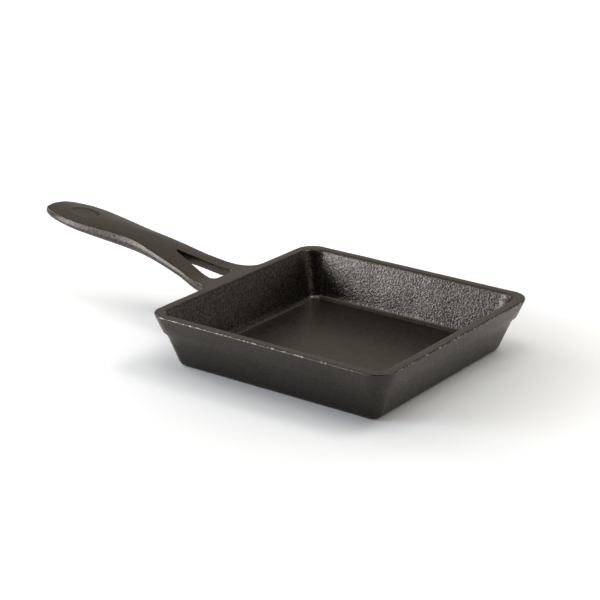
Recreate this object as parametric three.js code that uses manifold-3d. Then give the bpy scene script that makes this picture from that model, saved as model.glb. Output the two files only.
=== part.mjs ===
// A small square cast iron pan with a rising, forked handle. Millimetres, +Z up.
// The origin is the centre of the flat underside, and the handle runs out along -X.
// The casting is divided into flush regions: base, wall, rim, handle fork and handle grip.
import * as THREE from 'three';
import { mergeVertices } from 'three/addons/utils/BufferGeometryUtils.js';
import Module from 'manifold-3d';

// Pan body
const RIM_SIDE = 140; // across the square rim, outside
const PAN_HEIGHT = 28.3; // underside to the top of the rim
const RIM_WIDTH = 5.2; // rim seen from above, outer edge to cavity
const BAND_HEIGHT = 9.8; // thicker band below the rim
const BAND_STEP = 1.3; // how far the band stands proud of the wall
const BAND_RAMP = 1.8; // height over which the step fades out
const FLOOR_THICKNESS = 4.0;

// Drafts of the walls, in degrees from the vertical
const BAND_DRAFT = 20.5;
const WALL_DRAFT = 19.6;
const CAVITY_DRAFT = 20;

// Corners of the square in plan
const RIM_CORNER_RADIUS = 10.9; // outside, at the rim
const BASE_CORNER_RADIUS = 4.5; // outside, at the underside
const CAVITY_CORNER_RADIUS = 10; // inside, at the rim
const FLOOR_CORNER_RADIUS = 5.5; // inside, at the floor

// Rounded edges in section
const RIM_EDGE_RADIUS = 0.5;
const CAVITY_EDGE_RADIUS = 1.4;
const BASE_EDGE_RADIUS = 3;
const FLOOR_FILLET = 4.0;

// Opening between the arms of the handle, a long triangle before its corners are rounded
const OPENING_SETBACK = 4.4; // rim to the opening's base
const OPENING_LENGTH = 34.5;
const OPENING_WIDTH = 18.4; // at its base
const OPENING_CORNER_RADIUS = 2.5;
const OPENING_APEX_RADIUS = 0.8;

// Handle, with places measured out from the rim
const HANDLE_REACH = 125; // rim to the tip
const ROOT_AT = 8; // end of the fillets that flare into the rim
const FORK_AT = 24; // middle of the arms
const CROTCH_LAND = 3.6; // solid length behind the opening, up to the grip
const WAIST_AT = 61;
const GRIP_AT = 96;
const ROOT_SPREAD = 55; // width over the flare at the rim
const ROOT_WIDTH = 36.6;
const FORK_WIDTH = 28;
const CROTCH_WIDTH = 23.1;
const WAIST_WIDTH = 19.1;
const GRIP_WIDTH = 26.5;
const TIP_FULLNESS = 2.3; // power of the rounded end: 2 is an ellipse, more is squarer

// Height of the handle's upper edges above the rim
const ROOT_RISE = 0.1;
const FORK_RISE = 3.1;
const CROTCH_RISE = 7.6;
const WAIST_RISE = 11.3;
const GRIP_RISE = 14.6;
const TIP_RISE = 17.0;

// Thickness below those edges
const ROOT_THICKNESS = 5.1;
const ROOT_HAUNCH = 3; // how much deeper the root grows where it meets the rim
const FORK_THICKNESS = 4.8;
const CROTCH_THICKNESS = 5.5;
const WAIST_THICKNESS = 7.7;
const GRIP_THICKNESS = 5.9;
const TIP_THICKNESS = 4.0;

// Nose at the very tip, where both faces round over
const NOSE_LENGTH = 5.5;
const NOSE_DIP = 2.5; // how far the upper edge comes down
const NOSE_THICKNESS = 1.8; // what is left at the end

// Radius along the lower edges. The arms are square below and the grip is round.
const ARM_BELLY = 1.2;
const CROTCH_BELLY = 2.2;
const GRIP_BELLY = 4;

// Steep part of the side, from the upper edge down to the parting line
const ARM_SIDE = 1.1;
const CROTCH_SIDE = 1.5;
const GRIP_SIDE = 2.2;

// How far the underside is hollowed along the middle
const ARM_HOLLOW = 0.7;
const CROTCH_HOLLOW = 0.4;

// Crown of the upper face above those edges. It fades out towards the flat rim.
const FORK_CROWN = 1;
const CROTCH_CROWN = 1.4;
const WAIST_CROWN = 1.3;
const GRIP_CROWN = 1.1;
const TIP_CROWN = 0.6;

// Handle section
const HANDLE_EDGE_RADIUS = 0.8; // upper edges
const HANDLE_SWELL = 0.6; // how far the parting line stands out beyond the upper edge

// Bare oval thumb recess near the end of the grip
const RECESS_AT = 100; // rim to its centre
const RECESS_LENGTH = 17.5;
const RECESS_WIDTH = 11;
const RECESS_DEPTH = 0.7;

// Smoothness of the faceted surfaces
const CORNER_STEPS = 14; // along a quarter of a square's corner
const EDGE_STEPS = 4; // along a rounded edge
const FILLET_STEPS = 6; // along the floor fillet and the handle's underside
const CROWN_STEPS = 4; // from the handle's centre line to its edge
const SPAN_STEPS = 8; // sections between two stations of the handle
const FLARE_STEPS = 10; // sections along the flare at the rim
const TIP_STEPS = 20; // sections round the tip
const TIP_LAST_STEP = 0.5; // share of a step that is left blunt at the very end
const RECESS_STEPS = 48;

// Seasoned iron
const IRON_COLOUR = 0x2f2c29;
const IRON_ROUGHNESS = 0.55;
const IRON_METALNESS = 0.35;

const { degToRad, radToDeg } = THREE.MathUtils;
const QUARTER = Math.PI / 2;
const rise = (degrees) => Math.tan(degToRad(degrees));

const wasm = await Module();
wasm.setup();

// Joins rings of equal length into a closed skin. A looped skin runs back from the last ring to the
// first, as on a picture frame. Otherwise each end is closed by a fan from its middle.
function skin(rings, looped) {
  const length = rings[0].length;
  const points = rings.flat();
  const faces = [];
  const bands = looped ? rings.length : rings.length - 1;
  for (let band = 0; band < bands; band += 1) {
    const near = band * length;
    const far = ((band + 1) % rings.length) * length;
    for (let step = 0; step < length; step += 1) {
      const next = (step + 1) % length;
      faces.push(near + step, near + next, far + next);
      faces.push(near + step, far + next, far + step);
    }
  }
  if (!looped) {
    const last = (rings.length - 1) * length;
    const nearMiddle = points.push(middleOf(rings[0])) - 1;
    const farMiddle = points.push(middleOf(rings.at(-1))) - 1;
    for (let step = 0; step < length; step += 1) {
      const next = (step + 1) % length;
      faces.push(nearMiddle, next, step);
      faces.push(farMiddle, last + step, last + next);
    }
  }
  const geometry = new THREE.BufferGeometry().setFromPoints(points);
  geometry.setIndex(faces);
  return geometry;
}

function middleOf(ring) {
  const sum = ring.reduce((total, point) => total.add(point), new THREE.Vector3());
  return sum.divideScalar(ring.length);
}

function toSolid(geometry) {
  const bare = geometry.clone();
  bare.deleteAttribute('normal');
  bare.deleteAttribute('uv');
  const merged = mergeVertices(bare);
  return new wasm.Manifold(new wasm.Mesh({
    numProp: 3,
    vertProperties: new Float32Array(merged.attributes.position.array),
    triVerts: new Uint32Array(merged.index.array),
  }));
}

function toGeometry(solid) {
  const { vertProperties, triVerts } = solid.getMesh();
  const geometry = new THREE.BufferGeometry();
  geometry.setAttribute('position', new THREE.BufferAttribute(vertProperties, 3));
  geometry.setIndex(new THREE.BufferAttribute(triVerts, 1));
  return geometry;
}

function castIron(name, geometry) {
  geometry.computeVertexNormals();
  const material = new THREE.MeshStandardMaterial({
    color: IRON_COLOUR,
    roughness: IRON_ROUGHNESS,
    metalness: IRON_METALNESS,
  });
  const mesh = new THREE.Mesh(geometry, material);
  mesh.name = name;
  return mesh;
}

// Pan section: x is half of the square's side and y is the height

function arc(centreX, centreY, radius, fromDegrees, toDegrees, steps) {
  const [from, to] = [degToRad(fromDegrees), degToRad(toDegrees)];
  return new THREE.EllipseCurve(centreX, centreY, radius, radius, from, to, to < from).getPoints(steps);
}

const rimHalf = RIM_SIDE / 2;
const cavityHalf = rimHalf - RIM_WIDTH;
const bandFoot = PAN_HEIGHT - BAND_HEIGHT - BAND_RAMP;
const wallFoot = FLOOR_THICKNESS + FLOOR_FILLET * (1 - Math.sin(degToRad(CAVITY_DRAFT)));

const rimEdge = arc(
  rimHalf - RIM_EDGE_RADIUS, PAN_HEIGHT - RIM_EDGE_RADIUS, RIM_EDGE_RADIUS, -BAND_DRAFT, 90, EDGE_STEPS,
);
const bandHalf = rimEdge[0].x - (rimEdge[0].y - (PAN_HEIGHT - BAND_HEIGHT)) * rise(BAND_DRAFT);
const outerHalf = (z) => bandHalf - BAND_STEP - (PAN_HEIGHT - BAND_HEIGHT - z) * rise(WALL_DRAFT);
const innerHalf = (z) => cavityHalf - (PAN_HEIGHT - z) * rise(CAVITY_DRAFT);

// How far a round eats into each of the two faces that it joins
const cut = (radius, turnDegrees) => radius * Math.tan(degToRad(turnDegrees / 2));

const cavityEdge = arc(
  cavityHalf + cut(CAVITY_EDGE_RADIUS, 90 - CAVITY_DRAFT), PAN_HEIGHT - CAVITY_EDGE_RADIUS,
  CAVITY_EDGE_RADIUS, 90, 180 - CAVITY_DRAFT, EDGE_STEPS,
);
const baseEdge = arc(
  outerHalf(0) - cut(BASE_EDGE_RADIUS, 90 - WALL_DRAFT), BASE_EDGE_RADIUS,
  BASE_EDGE_RADIUS, -90, -WALL_DRAFT, EDGE_STEPS,
);
const floorEdge = arc(
  innerHalf(FLOOR_THICKNESS) - cut(FLOOR_FILLET, 90 - CAVITY_DRAFT), FLOOR_THICKNESS + FLOOR_FILLET,
  FLOOR_FILLET, -CAVITY_DRAFT, -90, FILLET_STEPS,
);

// Centres of the corner arcs in plan, which lean with the walls
function outerCentre(z) {
  const foot = outerHalf(0) - BASE_CORNER_RADIUS;
  return THREE.MathUtils.lerp(foot, rimHalf - RIM_CORNER_RADIUS, z / PAN_HEIGHT);
}

function innerCentre(z) {
  const foot = innerHalf(FLOOR_THICKNESS) - FLOOR_CORNER_RADIUS;
  const share = (z - FLOOR_THICKNESS) / (PAN_HEIGHT - FLOOR_THICKNESS);
  return THREE.MathUtils.lerp(foot, cavityHalf - CAVITY_CORNER_RADIUS, share);
}

function squareRing(half, centre, z) {
  const ring = [];
  for (let corner = 0; corner < 4; corner += 1) {
    const start = corner * QUARTER;
    const middle = new THREE.Vector2(centre, centre).rotateAround(new THREE.Vector2(), start);
    const radius = half - centre;
    const curve = new THREE.EllipseCurve(middle.x, middle.y, radius, radius, start, start + QUARTER);
    ring.push(...curve.getPoints(CORNER_STEPS).map((point) => new THREE.Vector3(point.x, point.y, z)));
  }
  return ring;
}

const outside = (points) => points.map(({ x, y }) => squareRing(x, outerCentre(y), y));
const inside = (points) => points.map(({ x, y }) => squareRing(x, innerCentre(y), y));
const outerPoint = (z) => ({ x: outerHalf(z), y: z });
const innerPoint = (z) => ({ x: innerHalf(z), y: z });

function panBase() {
  const outer = outside([...baseEdge, outerPoint(wallFoot)]);
  return skin([...outer, ...inside(floorEdge)], false);
}

function panWall() {
  const outer = outside([outerPoint(wallFoot), outerPoint(bandFoot)]);
  const inner = inside([innerPoint(bandFoot), floorEdge[0]]);
  return skin([...outer, ...inner], true);
}

function rimRing() {
  const bandEdge = { x: bandHalf, y: PAN_HEIGHT - BAND_HEIGHT };
  const outer = outside([outerPoint(bandFoot), bandEdge, ...rimEdge]);
  return skin([...outer, ...inside([...cavityEdge, innerPoint(bandFoot)])], true);
}

// Handle stations, from the root to the middle of the grip
const CROTCH_AT = OPENING_SETBACK + OPENING_LENGTH + CROTCH_LAND;
const ARM = { side: ARM_SIDE, belly: ARM_BELLY, hollow: ARM_HOLLOW };
const CROTCH = { side: CROTCH_SIDE, belly: CROTCH_BELLY, hollow: CROTCH_HOLLOW };
const GRIP = { side: GRIP_SIDE, belly: GRIP_BELLY, hollow: 0 };
const STATIONS = [
  station(ROOT_AT, ROOT_WIDTH, ROOT_RISE, ROOT_THICKNESS, 0, ARM),
  station(FORK_AT, FORK_WIDTH, FORK_RISE, FORK_THICKNESS, FORK_CROWN, ARM),
  station(CROTCH_AT, CROTCH_WIDTH, CROTCH_RISE, CROTCH_THICKNESS, CROTCH_CROWN, CROTCH),
  station(WAIST_AT, WAIST_WIDTH, WAIST_RISE, WAIST_THICKNESS, WAIST_CROWN, GRIP),
  station(GRIP_AT, GRIP_WIDTH, GRIP_RISE, GRIP_THICKNESS, GRIP_CROWN, GRIP),
  station(HANDLE_REACH, GRIP_WIDTH, TIP_RISE, TIP_THICKNESS, TIP_CROWN, GRIP),
];

function station(at, width, lift, thickness, crown, flank) {
  return { at, width, lift, thickness, crown, ...flank };
}

// Slope of one measure at a station, from its neighbours. The upper face leaves the root level.
function slopeAt(index, measure) {
  if (index === 0 && measure === 'lift') {
    return 0;
  }
  const before = STATIONS[Math.max(index - 1, 0)];
  const after = STATIONS[Math.min(index + 1, STATIONS.length - 1)];
  return (after[measure] - before[measure]) / (after.at - before.at);
}

// One measure of the handle at a distance from the rim, on a smooth curve through the stations
function along(measure, distance) {
  const last = STATIONS.length - 2;
  const found = STATIONS.findIndex(({ at }, place) => place > 0 && distance <= at) - 1;
  const index = found < 0 ? last : found;
  const [start, end] = [STATIONS[index], STATIONS[index + 1]];
  const span = end.at - start.at;
  const u = (distance - start.at) / span;
  const fade = (1 + 2 * u) * (1 - u) ** 2;
  const leave = u * (1 - u) ** 2 * span * slopeAt(index, measure);
  const arrive = u * u * (u - 1) * span * slopeAt(index + 1, measure);
  return start[measure] * fade + leave + end[measure] * (1 - fade) + arrive;
}

// Half of a section across the handle, from the middle of its upper face to the middle of its underside
function halfSection(half, { thickness, crown, side, belly, hollow }) {
  const edge = Math.min(HANDLE_EDGE_RADIUS, half / 2);
  const under = Math.min(belly, half - edge / 2);
  const shoulder = Math.min(edge + side, thickness / 2);
  const drop = thickness - shoulder;
  const swell = HANDLE_SWELL * Math.min(half / GRIP_BELLY, 1);
  const lean = radToDeg(Math.atan2(swell, side));
  const round = new THREE.EllipseCurve(half - under, -shoulder, under + swell, drop, 0, -QUARTER, true);
  return [
    ...bow(half - edge, 0, crown).slice(0, -1),
    ...arc(half - edge, -edge, edge, 90, lean, EDGE_STEPS),
    ...round.getPoints(FILLET_STEPS).slice(0, -1),
    ...bow(half - under, -thickness, hollow).reverse(),
  ];
}

// Half of a shallow bow, from its middle out to its edge
function bow(reach, height, lift) {
  const points = [];
  for (let step = 0; step <= CROWN_STEPS; step += 1) {
    const share = step / CROWN_STEPS;
    points.push(new THREE.Vector2(reach * share, height + lift * (1 - share * share)));
  }
  return points;
}

// A whole section: from the middle of the underside round by -Y, over the upper face and back by +Y
function section(distance, half, measures) {
  const right = halfSection(half, measures);
  const left = right.slice(1, -1).reverse().map(({ x, y }) => new THREE.Vector2(-x, y));
  const x = -(rimHalf + distance);
  const edgeHeight = PAN_HEIGHT + measures.lift;
  return [...left, ...right].map((point) => new THREE.Vector3(x, point.x, edgeHeight + point.y));
}

function measuresAt(distance) {
  const names = ['lift', 'thickness', 'crown', 'side', 'belly', 'hollow'];
  return Object.fromEntries(names.map((name) => [name, along(name, distance)]));
}

// Sections from one station to another, both included
function spanSections(from, to) {
  const stops = STATIONS.map(({ at }) => at).filter((at) => at >= from && at <= to);
  const places = [from];
  for (let stop = 1; stop < stops.length; stop += 1) {
    for (let step = 1; step <= SPAN_STEPS; step += 1) {
      places.push(THREE.MathUtils.lerp(stops[stop - 1], stops[stop], step / SPAN_STEPS));
    }
  }
  return places.map((distance) => section(distance, along('width', distance) / 2, measuresAt(distance)));
}

// The root starts inside the rim. It narrows along a fillet that runs into the arms, and grows thinner.
function handleRoot() {
  const armSlope = slopeAt(0, 'width') / 2;
  const fillet = new THREE.QuadraticBezierCurve(
    new THREE.Vector2(0, ROOT_SPREAD / 2),
    new THREE.Vector2(0, ROOT_WIDTH / 2 - armSlope * ROOT_AT),
    new THREE.Vector2(ROOT_AT, ROOT_WIDTH / 2),
  );
  const buried = new THREE.Vector2(CAVITY_EDGE_RADIUS - RIM_WIDTH, ROOT_SPREAD / 2);
  const rings = [buried, ...fillet.getPoints(FLARE_STEPS)].map(({ x, y }) => {
    const share = Math.max(x, 0) / ROOT_AT;
    const lift = ROOT_RISE * share ** 2;
    const thickness = ROOT_THICKNESS + ROOT_HAUNCH * (1 - share) ** 2;
    return section(x, y, { ...STATIONS[0], lift, thickness });
  });
  return skin(rings, false);
}

// The end of the grip narrows to the tip, and its faces round over to meet there
function tipSections() {
  const length = HANDLE_REACH - GRIP_AT;
  const rings = [];
  for (let step = 1; step <= TIP_STEPS; step += 1) {
    const turn = QUARTER * step / (TIP_STEPS + TIP_LAST_STEP);
    const distance = GRIP_AT + length * Math.sin(turn) ** (2 / TIP_FULLNESS);
    const half = GRIP_WIDTH / 2 * Math.cos(turn) ** (2 / TIP_FULLNESS);
    const measures = measuresAt(distance);
    const left = Math.min((HANDLE_REACH - distance) / NOSE_LENGTH, 1);
    const closed = 1 - Math.sqrt(1 - (1 - left) ** 2);
    measures.lift -= NOSE_DIP * closed;
    measures.thickness = THREE.MathUtils.lerp(measures.thickness, NOSE_THICKNESS, closed);
    rings.push(section(distance, half, measures));
  }
  return rings;
}

// The opening goes straight down through the root and the fork
function openingCut() {
  const base = -(rimHalf + OPENING_SETBACK);
  const corners = [
    { at: new THREE.Vector2(base, -OPENING_WIDTH / 2), radius: OPENING_CORNER_RADIUS },
    { at: new THREE.Vector2(base, OPENING_WIDTH / 2), radius: OPENING_CORNER_RADIUS },
    { at: new THREE.Vector2(base - OPENING_LENGTH, 0), radius: OPENING_APEX_RADIUS },
  ];
  const shape = new THREE.Shape();
  corners.forEach(({ at, radius }, index) => {
    const before = corners[(index + corners.length - 1) % corners.length].at.clone().sub(at).normalize();
    const after = corners[(index + 1) % corners.length].at.clone().sub(at).normalize();
    const halfAngle = Math.acos(before.dot(after)) / 2;
    const bisector = before.clone().add(after).normalize();
    const middle = at.clone().addScaledVector(bisector, radius / Math.sin(halfAngle));
    const swing = QUARTER - halfAngle;
    const outward = bisector.negate().angle();
    shape.absarc(middle.x, middle.y, radius, outward - swing, outward + swing);
  });
  const depth = PAN_HEIGHT + TIP_RISE;
  const settings = { depth, bevelEnabled: false, curveSegments: EDGE_STEPS };
  return toSolid(new THREE.ExtrudeGeometry(shape, settings));
}

// A shallow oval pocket, square to the slope of the upper face
function recessCut() {
  const height = HANDLE_EDGE_RADIUS + RECESS_DEPTH + GRIP_CROWN;
  const oval = new THREE.CylinderGeometry(0.5, 0.5, height, RECESS_STEPS);
  oval.rotateX(QUARTER);
  oval.scale(RECESS_LENGTH, RECESS_WIDTH, 1);
  oval.translate(0, 0, height / 2 - RECESS_DEPTH);
  const around = RECESS_LENGTH / 2;
  const climb = along('lift', RECESS_AT + around) - along('lift', RECESS_AT - around);
  oval.rotateY(Math.atan2(climb, RECESS_LENGTH));
  const top = PAN_HEIGHT + along('lift', RECESS_AT) + along('crown', RECESS_AT);
  oval.translate(-(rimHalf + RECESS_AT), 0, top);
  return toSolid(oval);
}

function rimBand() {
  const joined = toSolid(rimRing()).add(toSolid(handleRoot()));
  return toGeometry(joined.subtract(openingCut()));
}

function handleFork() {
  const arms = toSolid(skin(spanSections(ROOT_AT, CROTCH_AT), false));
  return toGeometry(arms.subtract(openingCut()));
}

function handleGrip() {
  const rings = [...spanSections(CROTCH_AT, GRIP_AT), ...tipSections()];
  return toGeometry(toSolid(skin(rings, false)).subtract(recessCut()));
}

const pan = new THREE.Group();
pan.add(
  castIron('pan_base', panBase()),
  castIron('pan_wall', panWall()),
  castIron('rim_band', rimBand()),
  castIron('handle_fork', handleFork()),
  castIron('handle_grip', handleGrip()),
);

export default pan;
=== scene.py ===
"""Looks of a small square cast iron pan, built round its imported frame. Metres, +Z up, handle along -X."""

import math

import bmesh
import bpy
import numpy as np
from mathutils import Matrix, Vector, noise


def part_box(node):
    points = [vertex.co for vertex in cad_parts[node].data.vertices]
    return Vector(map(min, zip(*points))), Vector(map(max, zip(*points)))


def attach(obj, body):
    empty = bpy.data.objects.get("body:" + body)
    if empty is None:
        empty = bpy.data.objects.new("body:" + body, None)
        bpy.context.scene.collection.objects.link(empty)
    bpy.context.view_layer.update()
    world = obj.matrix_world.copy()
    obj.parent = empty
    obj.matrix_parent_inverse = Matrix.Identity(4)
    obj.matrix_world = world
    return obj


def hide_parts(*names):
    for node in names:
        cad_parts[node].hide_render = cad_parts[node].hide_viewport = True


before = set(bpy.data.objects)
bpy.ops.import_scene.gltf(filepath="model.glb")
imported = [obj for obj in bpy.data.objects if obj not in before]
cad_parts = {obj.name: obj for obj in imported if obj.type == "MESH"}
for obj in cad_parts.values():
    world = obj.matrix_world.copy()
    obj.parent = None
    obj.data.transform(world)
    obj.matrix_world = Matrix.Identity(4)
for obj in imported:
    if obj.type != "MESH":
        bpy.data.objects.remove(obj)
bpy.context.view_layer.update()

MM = 0.001
TINY = 1e-9

# Camera, fitted to the outline of the pan
CAMERA_TARGET = (-23.0 * MM, -4.3 * MM, 26.7 * MM)
CAMERA_DISTANCE = 953.4 * MM
CAMERA_AZIMUTH = 35.02
CAMERA_ELEVATION = 19.94
CAMERA_ROLL = 0.81
CAMERA_LENS = 113.14
CAMERA_CLIP = 10

# Seams of the casting, where the frame's nodes meet, and sizes of the pan
BASE_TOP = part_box("pan_base")[1].z
WALL_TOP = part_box("pan_wall")[1].z
ROOT_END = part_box("rim_band")[0].x
FORK_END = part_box("handle_fork")[0].x
PAN_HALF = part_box("rim_band")[1].x
RIM_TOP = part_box("rim_band")[1].z
RIM_WIDTH = 5.2 * MM
FLOOR_HEIGHT = 4 * MM

UP = Vector((0, 0, 1))
OUT = Vector((-1, 0, 0))

# Cast skin: remeshed, smoothed and slightly wavy, with a flat foot
WELD_DISTANCE = 1e-7
CUT_DISTANCE = 1e-8
VOXEL = 0.5 * MM
SMOOTHING_ROUNDS = 9
SMOOTHING_SHRINK = 0.5
SMOOTHING_GROW = -0.52
WAVE_SIZE = 14 * MM
WAVE_DEPTH = 0.1 * MM
FLAT_FOOT = 1.5 * MM
UNDERSIDE_CUT = 0.02 * MM

# Upright corners of the basin: radius at the rim in the solids, width of the rim across the corner,
# and how far the corners are drawn out
BASIN_CORNER = 10 * MM
CORNER_RIM = 7 * MM
NEAR_CORNER_DRAW = 2.2 * MM
FAR_CORNER_DRAW = 0.4 * MM

# Step below the band, whose shading is softened
STEP_RAMP = 1.8 * MM
STEP_HALF = 63 * MM
STEP_REACH = 5.5 * MM
STEP_ROUNDS = 90

# Marks on the skin. A lean is the share of a normal that points away from the middle of the pan.
CURVATURE_ROUNDS = 3
EDGE_CURVATURE = 0.16
EDGE_LEAN = -0.2
FILLET_TOP = 0.42
FILLET_GAIN = 5
OUTER_LEAN = 0.3
STEEP_FROM = 0.3
STEEP_TO = 0.7
CORNER_SLANT = 0.5
# Painted shade: the outer faces darken towards the foot over this height, and the upright corners by this
# share
PAINTED_SHADE_FOOT = 20 * MM
PAINTED_SHADE_CORNER = 0.7
SIDE_SLOPE = 0.625

# Noises of the iron: size and detail
NOISES = {
    "patches": (22 * MM, 3),
    "mottle": (2.5 * MM, 4),
    "grit": (0.5 * MM, 2),
    "pebble": (1.0 * MM, 1),
    "specks": (1.5 * MM, 1),
}
PATCH_SPAN = (0.35, 0.65)
MOTTLE_SPAN = (0.4, 0.75)
GLOSS_SPAN = (0.3, 0.7)
PEBBLE_SPAN = (0.34, 0.66)
SPECK_SPAN = (0.53, 0.62)
WORN_SPAN = (0.5, 0.9)

# Seasoned iron: tones, painted shade, strength of the cast grain, gloss and relief
DARK_TONE = (0.063, 0.056, 0.049, 1)
LIGHT_TONE = (0.069, 0.062, 0.054, 1)
MOTTLE_TONE = (0.075, 0.068, 0.060, 1)
WORN_TONE = (0.50, 0.48, 0.45, 1)
MOTTLE_SHARE = 0.5
# Painted shade: the share of the tone that is left where the painted shade is full
PAINTED_SHADE_LEVEL = 0.55
SIDE_GRAIN = 0.8
LEAST_GRAIN = 0.24
FILLET_GRAIN = 0.3
GRAIN_CONTRAST = 0.54
GLOSSY_ROUGHNESS = 0.26
SATIN_ROUGHNESS = 0.36
SIDE_ROUGHNESS = 0.1
FILLET_ROUGHNESS = -0.03
PEBBLE_DEPTH = 0.15 * MM
GRIT_DEPTH = 0.012 * MM
IRON_METALLIC = 0.88
IRON_TINT = (1.0, 0.975, 0.935, 1)

# Soft panels: azimuth and elevation in degrees, width and height in metres, radiance.
# Azimuth 0 is in front, along -Y, and turns towards +X.
PANEL_DISTANCE = 1.1
PANELS = {
    "key_panel": (-46.5, 14.5, 0.42, 0.57, 10.2),
    "front_panel": (-14, 4, 0.60, 0.14, 3.2),
    "front_high_panel": (-45, 44, 0.80, 0.50, 1.1),
    "left_panel": (-90, 22, 0.40, 0.28, 7.0),
    "left_high_panel": (-90, 40, 0.44, 0.36, 1.8),
    "right_panel": (88, 14, 0.24, 0.45, 2.2),
    "back_left_panel": (-146, 14.5, 0.86, 0.57, 0.48),
    "back_high_panel": (-143, 48, 0.90, 0.70, 0.65),
    "back_panel": (180, 14.5, 0.43, 0.57, 1.4),
    "back_right_panel": (124, 14.5, 0.86, 0.57, 0.85),
    "high_panel": (135, 60, 0.45, 0.36, 7.4),
    "top_panel": (0, 86, 0.60, 0.60, 2.8),
}
KEY_COLOUR = (0.90, 0.93, 1.0)
FILL_COLOUR = (1.0, 0.94, 0.85)
ROOM_RADIANCE = 0.02

# Floor: its glow rises away from the pan, and again where the panels no longer light it
FLOOR_REACH = 4
FLOOR_COLOUR = (0.82, 0.87, 0.93, 1)
FLOOR_GLOW_COLOUR = (1.0, 0.95, 0.89, 1)
FLOOR_GLOW_NEAR = 0.06
FLOOR_GLOW_FAR = 0.5
FLOOR_GLOW_FROM = 0.08
FLOOR_GLOW_TO = 0.20
UNLIT_FROM = 0.4
UNLIT_TO = 1.2


def make_camera():
    data = bpy.data.cameras.new("camera")
    data.lens = CAMERA_LENS
    data.clip_end = CAMERA_CLIP
    camera = bpy.data.objects.new("camera", data)
    turn = Matrix.Rotation(math.radians(CAMERA_AZIMUTH), 4, "Z")
    tilt = Matrix.Rotation(math.radians(90 - CAMERA_ELEVATION), 4, "X")
    roll = Matrix.Rotation(math.radians(CAMERA_ROLL), 4, "Z")
    back_off = Matrix.Translation((0, 0, CAMERA_DISTANCE))
    camera.matrix_world = Matrix.Translation(CAMERA_TARGET) @ turn @ tilt @ back_off @ roll
    bpy.context.scene.collection.objects.link(camera)
    bpy.context.scene.camera = camera


def show(name, mesh):
    piece = bpy.data.objects.new(name, mesh)
    bpy.context.scene.collection.objects.link(piece)
    return piece


def remeshed_casting():
    """One closed skin over all of the frame's solids, so that the handle flows into the rim."""
    joined = bmesh.new()
    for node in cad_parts.values():
        joined.from_mesh(node.data)
    bmesh.ops.remove_doubles(joined, verts=joined.verts, dist=WELD_DISTANCE)
    mesh = bpy.data.meshes.new("solids")
    joined.to_mesh(mesh)
    joined.free()
    solids = show("solids", mesh)
    modifier = solids.modifiers.new("skin", "REMESH")
    modifier.mode = "VOXEL"
    modifier.voxel_size = VOXEL
    evaluated = solids.evaluated_get(bpy.context.evaluated_depsgraph_get())
    skin = bpy.data.meshes.new_from_object(evaluated)
    bpy.data.objects.remove(solids)
    return skin


def points_of(mesh):
    points = np.empty(len(mesh.vertices) * 3)
    mesh.vertices.foreach_get("co", points)
    return points.reshape(-1, 3)


def normals_of(mesh):
    normals = np.empty(len(mesh.vertices) * 3)
    mesh.vertex_normals.foreach_get("vector", normals)
    return normals.reshape(-1, 3)


def move_points(mesh, points):
    mesh.vertices.foreach_set("co", points.ravel())
    mesh.update()


def ramp(values, low, high):
    """Rises from 0 at low to 1 at high, clamped."""
    return np.clip((values - low) / (high - low), 0, 1)


class Neighbours:
    """Averages a value over the points that share an edge with each point."""

    def __init__(self, mesh):
        ends = np.empty(len(mesh.edges) * 2, dtype=np.int64)
        mesh.edges.foreach_get("vertices", ends)
        first, second = ends.reshape(-1, 2).T
        self.here = np.concatenate([first, second])
        self.there = np.concatenate([second, first])
        self.count = np.bincount(self.here, minlength=len(mesh.vertices))

    def mean(self, values):
        columns = values.reshape(len(values), -1).T
        sums = [np.bincount(self.here, column[self.there], len(values)) for column in columns]
        return (np.array(sums) / self.count).T.reshape(values.shape)


def smooth_casting(mesh, around):
    """Takes out the facets and the voxel steps and keeps the volume."""
    points = points_of(mesh)
    for _ in range(SMOOTHING_ROUNDS):
        for share in (SMOOTHING_SHRINK, SMOOTHING_GROW):
            points = points + share * (around.mean(points) - points)
    move_points(mesh, points)


def draw_corners(mesh):
    """Draws the upright corners of the basin out, the near ones most, and leaves the outer faces."""
    points = points_of(mesh)
    normals = normals_of(mesh)
    flat = points[:, :2]
    beyond = np.maximum(np.abs(flat) - (PAN_HALF - RIM_WIDTH - BASIN_CORNER), 0)
    reach = np.maximum(np.linalg.norm(beyond, axis=1), TINY)
    away = beyond / reach[:, None]
    outwards = np.sign(flat) * away
    slant = (2 * away[:, 0] * away[:, 1]) ** 2
    on_rim = 1 - ramp(reach, BASIN_CORNER, BASIN_CORNER + CORNER_RIM)
    inner = (normals[:, :2] * outwards).sum(axis=1) < OUTER_LEAN
    rise = ramp(points[:, 2], FLOOR_HEIGHT, RIM_TOP)
    draw = np.where(points[:, 1] < 0, NEAR_CORNER_DRAW, FAR_CORNER_DRAW)
    points[:, :2] += outwards * (draw * slant * on_rim * inner * rise)[:, None]
    move_points(mesh, points)


def wave_casting(mesh):
    """The slight unevenness of a sand casting. The foot stays flat."""
    points = points_of(mesh)
    normals = normals_of(mesh)
    heights = np.array([noise.noise(Vector(point / WAVE_SIZE)) for point in points])
    rise = ramp(points[:, 2], FLAT_FOOT, 2 * FLAT_FOOT)
    move_points(mesh, points + normals * (heights * rise * WAVE_DEPTH)[:, None])


def store(mesh, name, values):
    attribute = mesh.attributes.new(name, "FLOAT", "POINT")
    attribute.data.foreach_set("value", np.ascontiguousarray(values, dtype=np.float32))


def lean_of(points, normals):
    """The share of each normal that points away from the middle of the pan."""
    flat = points[:, :2]
    return (normals[:, :2] * flat).sum(axis=1) / np.maximum(np.linalg.norm(flat, axis=1), VOXEL)


def sharp_edges(points, normals, around):
    """1 where the skin bends sharply outwards."""
    bend = ((points - around.mean(points)) * normals).sum(axis=1) / VOXEL
    for _ in range(CURVATURE_ROUNDS):
        bend = around.mean(bend)
    return ramp(bend, 0, EDGE_CURVATURE)


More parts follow.
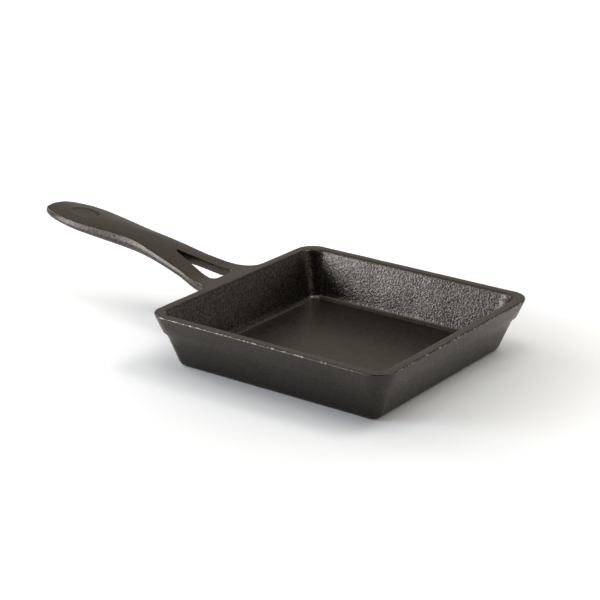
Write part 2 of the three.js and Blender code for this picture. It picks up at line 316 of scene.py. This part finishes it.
def turning_fillet(normals):
    """1 on the bend between the floor and a wall of the basin, found by its slope."""
    turn = ramp(normals[:, 2], FILLET_TOP, 1)
    return np.clip(FILLET_GAIN * turn * (1 - turn), 0, 1)


def upright_corners(normals):
    """1 where a wall turns a corner."""
    level = np.maximum(np.linalg.norm(normals[:, :2], axis=1), TINY)
    return ramp(np.abs(normals[:, :2]).min(axis=1) / level, 0, CORNER_SLANT)


def handle_sides(points, normals):
    """1 on the steep outer sides of the handle, and 0 on the walls of its opening."""
    steep = 1 - ramp(np.abs(normals[:, 2]), 0, SIDE_SLOPE)
    faces_out = np.maximum(np.sign(points[:, 1]) * normals[:, 1], -normals[:, 0]) > 0
    return np.where(points[:, 0] < -PAN_HALF, steep * faces_out, 0)


def mark_casting(mesh, around):
    """Stores on the skin what the material asks of each place, and the normals that shade it."""
    points = points_of(mesh)
    normals = normals_of(mesh)
    lean = lean_of(points, normals)
    inside = np.abs(points[:, :2]).max(axis=1) < PAN_HALF - RIM_WIDTH
    spared = inside | (lean < EDGE_LEAN)
    store(mesh, "edge", np.where(spared, 0, sharp_edges(points, normals, around)))
    store(mesh, "fillet", np.where(inside, turning_fillet(normals), 0))
    above_floor = inside & (points[:, 2] > FLOOR_HEIGHT / 2)
    basin_wall = np.where(above_floor, ramp(-lean, STEEP_FROM, STEEP_TO), 0)
    store(mesh, "pebble", basin_wall)
    outer_face = (lean > OUTER_LEAN) & (points[:, 0] > -PAN_HALF)
    # Painted shade: darker towards the foot of the outer faces, and in the upright corners outside and on
    # the basin walls
    low = 1 - ramp(points[:, 2], 0, PAINTED_SHADE_FOOT)
    corner = PAINTED_SHADE_CORNER * upright_corners(normals)
    store(mesh, "painted_shade", np.where(outer_face, np.maximum(low, corner), basin_wall * corner))
    store(mesh, "grain", handle_sides(points, normals))
    soft = soften_step(points, normals, around)
    attribute = mesh.attributes.new("skin_normal", "FLOAT_VECTOR", "POINT")
    attribute.data.foreach_set("vector", soft.astype(np.float32).ravel())


def soften_step(points, normals, around):
    """Normals that run smoothly over the small step below the band, as under thick seasoning."""
    near_step = np.abs(points[:, 2] - WALL_TOP - STEP_RAMP / 2) < STEP_REACH
    outside = np.abs(points[:, :2]).max(axis=1) > STEP_HALF
    softened = (near_step & outside)[:, None]
    soft = normals
    for _ in range(STEP_ROUNDS):
        soft = np.where(softened, around.mean(soft), soft)
    return soft / np.linalg.norm(soft, axis=1)[:, None]


def keep_side(cut, point, direction):
    """Cuts a closed mesh by a plane, keeps the side that direction points to and closes the cut."""
    parts = [*cut.verts, *cut.edges, *cut.faces]
    bmesh.ops.bisect_plane(
        cut, geom=parts, dist=CUT_DISTANCE, plane_co=point, plane_no=direction, clear_inner=True,
    )
    rim = [edge for edge in cut.edges if edge.is_boundary]
    filled = bmesh.ops.triangle_fill(cut, use_beauty=True, edges=rim, normal=direction)
    caps = [part for part in filled["geom"] if isinstance(part, bmesh.types.BMFace)]
    is_cap = cut.faces.layers.int["cap"]
    for face in caps:
        face[is_cap] = 1
        face.normal_update()
        if face.normal.dot(direction) > 0:
            face.normal_flip()


def shade_smooth(mesh):
    """Gives the skin the normals of the whole casting, so that no seam shows, and leaves the cuts flat."""
    skin_normals = np.empty(len(mesh.vertices) * 3)
    mesh.attributes["skin_normal"].data.foreach_get("vector", skin_normals)
    skin_normals = skin_normals.reshape(-1, 3)
    skin_normals /= np.linalg.norm(skin_normals, axis=1)[:, None]
    caps = np.empty(len(mesh.polygons), dtype=np.int32)
    mesh.attributes["cap"].data.foreach_get("value", caps)
    corners = np.empty(len(mesh.loops), dtype=np.int32)
    mesh.loops.foreach_get("vertex_index", corners)
    sides = np.empty(len(mesh.polygons), dtype=np.int32)
    mesh.polygons.foreach_get("loop_total", sides)
    flat_normals = np.empty(len(mesh.polygons) * 3)
    mesh.polygons.foreach_get("normal", flat_normals)
    flat_normals = np.repeat(flat_normals.reshape(-1, 3), sides, axis=0)
    on_cap = np.repeat(caps, sides).astype(bool)
    normals = np.where(on_cap[:, None], flat_normals, skin_normals[corners])
    mesh.normals_split_custom_set(normals.tolist())
    mesh.attributes.remove(mesh.attributes["skin_normal"])


def cut_piece(skin, name, planes, material):
    """One region of the casting, closed, in place of the frame's node of that name."""
    cut = bmesh.new()
    cut.from_mesh(skin)
    cut.faces.layers.int.new("cap")
    for point, direction in planes:
        keep_side(cut, point, direction)
    mesh = bpy.data.meshes.new(name)
    cut.to_mesh(mesh)
    cut.free()
    mesh.shade_smooth()
    shade_smooth(mesh)
    mesh.materials.append(material)
    piece = show(f"{name}_cast", mesh)
    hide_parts(name)
    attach(piece, "root")
    return piece


def make_casting(material):
    skin = remeshed_casting()
    around = Neighbours(skin)
    smooth_casting(skin, around)
    draw_corners(skin)
    wave_casting(skin)
    mark_casting(skin, around)
    underside = Vector((0, 0, UNDERSIDE_CUT))
    base_seam = Vector((0, 0, BASE_TOP))
    wall_seam = Vector((0, 0, WALL_TOP))
    root_seam = Vector((ROOT_END, 0, 0))
    fork_seam = Vector((FORK_END, 0, 0))
    cut_piece(skin, "pan_base", [(underside, UP), (base_seam, -UP)], material)
    cut_piece(skin, "pan_wall", [(base_seam, UP), (wall_seam, -UP)], material)
    cut_piece(skin, "rim_band", [(wall_seam, UP), (root_seam, -OUT)], material)
    cut_piece(skin, "handle_fork", [(root_seam, OUT), (fork_seam, -OUT)], material)
    cut_piece(skin, "handle_grip", [(fork_seam, OUT)], material)
    bpy.data.meshes.remove(skin)


class Nodes:
    """Adds shader nodes and links them by socket name."""

    def __init__(self, tree):
        self.tree = tree
        tree.nodes.clear()

    def add(self, kind, settings=None, **inputs):
        node = self.tree.nodes.new(kind)
        for name, value in (settings or {}).items():
            setattr(node, name, value)
        for name, value in inputs.items():
            self.put(node.inputs[name.replace("_", " ")], value)
        return node

    def put(self, socket, value):
        if isinstance(value, bpy.types.NodeSocket):
            self.tree.links.new(value, socket)
        else:
            socket.default_value = value

    def math(self, operation, *values):
        node = self.tree.nodes.new("ShaderNodeMath")
        node.operation = operation
        for socket, value in zip(node.inputs, values):
            self.put(socket, value)
        return node.outputs[0]

    def fade(self, value, low, high, start=0.0, end=1.0):
        """Maps a value from low..high to start..end, clamped."""
        node = self.tree.nodes.new("ShaderNodeMapRange")
        for socket, number in zip(node.inputs, (value, low, high, start, end)):
            self.put(socket, number)
        return node.outputs[0]

    def blend(self, share, first, second):
        """Mixes two colours. The colour sockets of the node are 6 and 7, and its colour output is 2."""
        node = self.tree.nodes.new("ShaderNodeMix")
        node.data_type = "RGBA"
        self.put(node.inputs[0], share)
        self.put(node.inputs[6], first)
        self.put(node.inputs[7], second)
        return node.outputs[2]

    def scale(self, colour, share):
        """Darkens or lightens a colour."""
        node = self.add("ShaderNodeVectorMath", {"operation": "SCALE"}, Scale=share)
        self.put(node.inputs[0], colour)
        return node.outputs[0]

    def noise(self, place, size, detail):
        return self.add("ShaderNodeTexNoise", Vector=place, Scale=1 / size, Detail=detail).outputs[0]

    def mark(self, name):
        return self.add("ShaderNodeAttribute", {"attribute_name": name}).outputs["Fac"]


def cast_grain(nodes, marks):
    """How strong the cast grain is: full on the walls of the basin, least on the floor and the rim."""
    side = nodes.math("MULTIPLY", marks["grain"], SIDE_GRAIN)
    grain = nodes.math("MAXIMUM", nodes.math("MAXIMUM", marks["pebble"], side), LEAST_GRAIN)
    return nodes.math("MULTIPLY", grain, nodes.fade(marks["fillet"], 0, 1, 1, FILLET_GRAIN))


def iron_colour(nodes, noises, marks, grain):
    """Patches and mottle of the seasoning, shaded by the grain, with painted shade towards the foot and in
    the corners, and worn specks along the edges.
    """
    pebbles = nodes.math("MULTIPLY", grain, nodes.fade(noises["pebble"], *PEBBLE_SPAN, -1, 1))
    shade = nodes.math("MULTIPLY_ADD", pebbles, GRAIN_CONTRAST, 1.0)
    # Painted shade: darkens the tone at the foot and in the corners
    shade = nodes.math("MULTIPLY", shade, nodes.fade(marks["painted_shade"], 0, 1, 1, PAINTED_SHADE_LEVEL))
    tone = nodes.blend(nodes.fade(noises["patches"], *PATCH_SPAN), DARK_TONE, LIGHT_TONE)
    mottle = nodes.fade(noises["mottle"], *MOTTLE_SPAN, 0, MOTTLE_SHARE)
    tone = nodes.scale(nodes.blend(mottle, tone, MOTTLE_TONE), shade)
    specks = nodes.fade(noises["specks"], *SPECK_SPAN)
    worn = nodes.math("MULTIPLY", nodes.fade(marks["edge"], *WORN_SPAN), specks)
    return nodes.blend(worn, tone, WORN_TONE)


def iron_roughness(nodes, noises, marks):
    rough = nodes.fade(noises["mottle"], *GLOSS_SPAN, GLOSSY_ROUGHNESS, SATIN_ROUGHNESS)
    rough = nodes.math("MULTIPLY_ADD", marks["grain"], SIDE_ROUGHNESS, rough)
    return nodes.math("MULTIPLY_ADD", marks["fillet"], FILLET_ROUGHNESS, rough)


def iron_relief(nodes, noises, grain):
    pebbles = nodes.math("MULTIPLY", noises["pebble"], nodes.math("MULTIPLY", grain, PEBBLE_DEPTH))
    height = nodes.math("MULTIPLY_ADD", noises["grit"], GRIT_DEPTH, pebbles)
    return nodes.add("ShaderNodeBump", Height=height, Strength=1.0, Distance=1.0).outputs[0]


def seasoned_iron():
    material = bpy.data.materials.new("seasoned_iron")
    material.use_nodes = True
    nodes = Nodes(material.node_tree)
    place = nodes.add("ShaderNodeTexCoord").outputs["Object"]
    noises = {name: nodes.noise(place, *measures) for name, measures in NOISES.items()}
    marks = {name: nodes.mark(name) for name in ("edge", "fillet", "pebble", "painted_shade", "grain")}
    grain = cast_grain(nodes, marks)
    shader = nodes.add(
        "ShaderNodeBsdfPrincipled",
        Base_Color=iron_colour(nodes, noises, marks, grain),
        Roughness=iron_roughness(nodes, noises, marks),
        Normal=iron_relief(nodes, noises, grain),
        Metallic=IRON_METALLIC,
        Specular_Tint=IRON_TINT,
    )
    nodes.add("ShaderNodeOutputMaterial", Surface=shader.outputs[0])
    return material


def seen_directly(nodes):
    """1 for what the camera sees itself, in a reflection or through glass."""
    path = nodes.add("ShaderNodeLightPath").outputs
    seen = nodes.math("MAXIMUM", path["Is Camera Ray"], path["Is Transmission Ray"])
    return nodes.math("MAXIMUM", seen, path["Is Glossy Ray"])


def make_floor():
    mesh = bpy.data.meshes.new("floor")
    turns = [(-1, -1), (1, -1), (1, 1), (-1, 1)]
    corners = [(x * FLOOR_REACH, y * FLOOR_REACH, 0) for x, y in turns]
    mesh.from_pydata(corners, [], [(0, 1, 2, 3)])
    material = bpy.data.materials.new("pale_floor")
    material.use_nodes = True
    nodes = Nodes(material.node_tree)
    paint = nodes.add("ShaderNodeBsdfDiffuse", Color=FLOOR_COLOUR)
    glow = nodes.add("ShaderNodeEmission", Color=FLOOR_GLOW_COLOUR)
    place = nodes.add("ShaderNodeTexCoord").outputs["Object"]
    away = nodes.add("ShaderNodeVectorMath", {"operation": "LENGTH"})
    nodes.put(away.inputs[0], place)
    strength = nodes.fade(
        away.outputs["Value"], FLOOR_GLOW_FROM, FLOOR_GLOW_TO, FLOOR_GLOW_NEAR, FLOOR_GLOW_FAR,
    )
    horizon = nodes.fade(away.outputs["Value"], UNLIT_FROM, UNLIT_TO, 0, 1 - FLOOR_GLOW_FAR)
    strength = nodes.math("ADD", strength, horizon)
    nodes.put(glow.inputs["Strength"], nodes.math("MULTIPLY", seen_directly(nodes), strength))
    both = nodes.add("ShaderNodeAddShader")
    nodes.put(both.inputs[0], paint.outputs[0])
    nodes.put(both.inputs[1], glow.outputs[0])
    nodes.add("ShaderNodeOutputMaterial", Surface=both.outputs[0])
    mesh.materials.append(material)
    show("floor", mesh)


def make_panel(name, azimuth, elevation, width, height, radiance):
    """A soft panel that faces the pan."""
    data = bpy.data.lights.new(name, "AREA")
    data.shape = "RECTANGLE"
    data.size = width
    data.size_y = height
    data.energy = radiance * math.pi * width * height
    panel = bpy.data.objects.new(name, data)
    turn = Matrix.Rotation(math.radians(azimuth), 4, "Z")
    tilt = Matrix.Rotation(math.radians(90 - elevation), 4, "X")
    panel.matrix_world = turn @ tilt @ Matrix.Translation((0, 0, PANEL_DISTANCE))
    panel.visible_camera = False
    bpy.context.scene.collection.objects.link(panel)
    return data


def make_light():
    for name, measures in PANELS.items():
        make_panel(name, *measures).color = KEY_COLOUR if name == "key_panel" else FILL_COLOUR
    world = bpy.data.worlds.new("studio")
    bpy.context.scene.world = world
    world.use_nodes = True
    nodes = Nodes(world.node_tree)
    sky = nodes.add("ShaderNodeBackground", Color=(1, 1, 1, 1), Strength=ROOM_RADIANCE)
    nodes.add("ShaderNodeOutputWorld", Surface=sky.outputs[0])


make_camera()
make_casting(seasoned_iron())
make_floor()
make_light()
bpy.context.scene.view_settings.view_transform = "Standard"
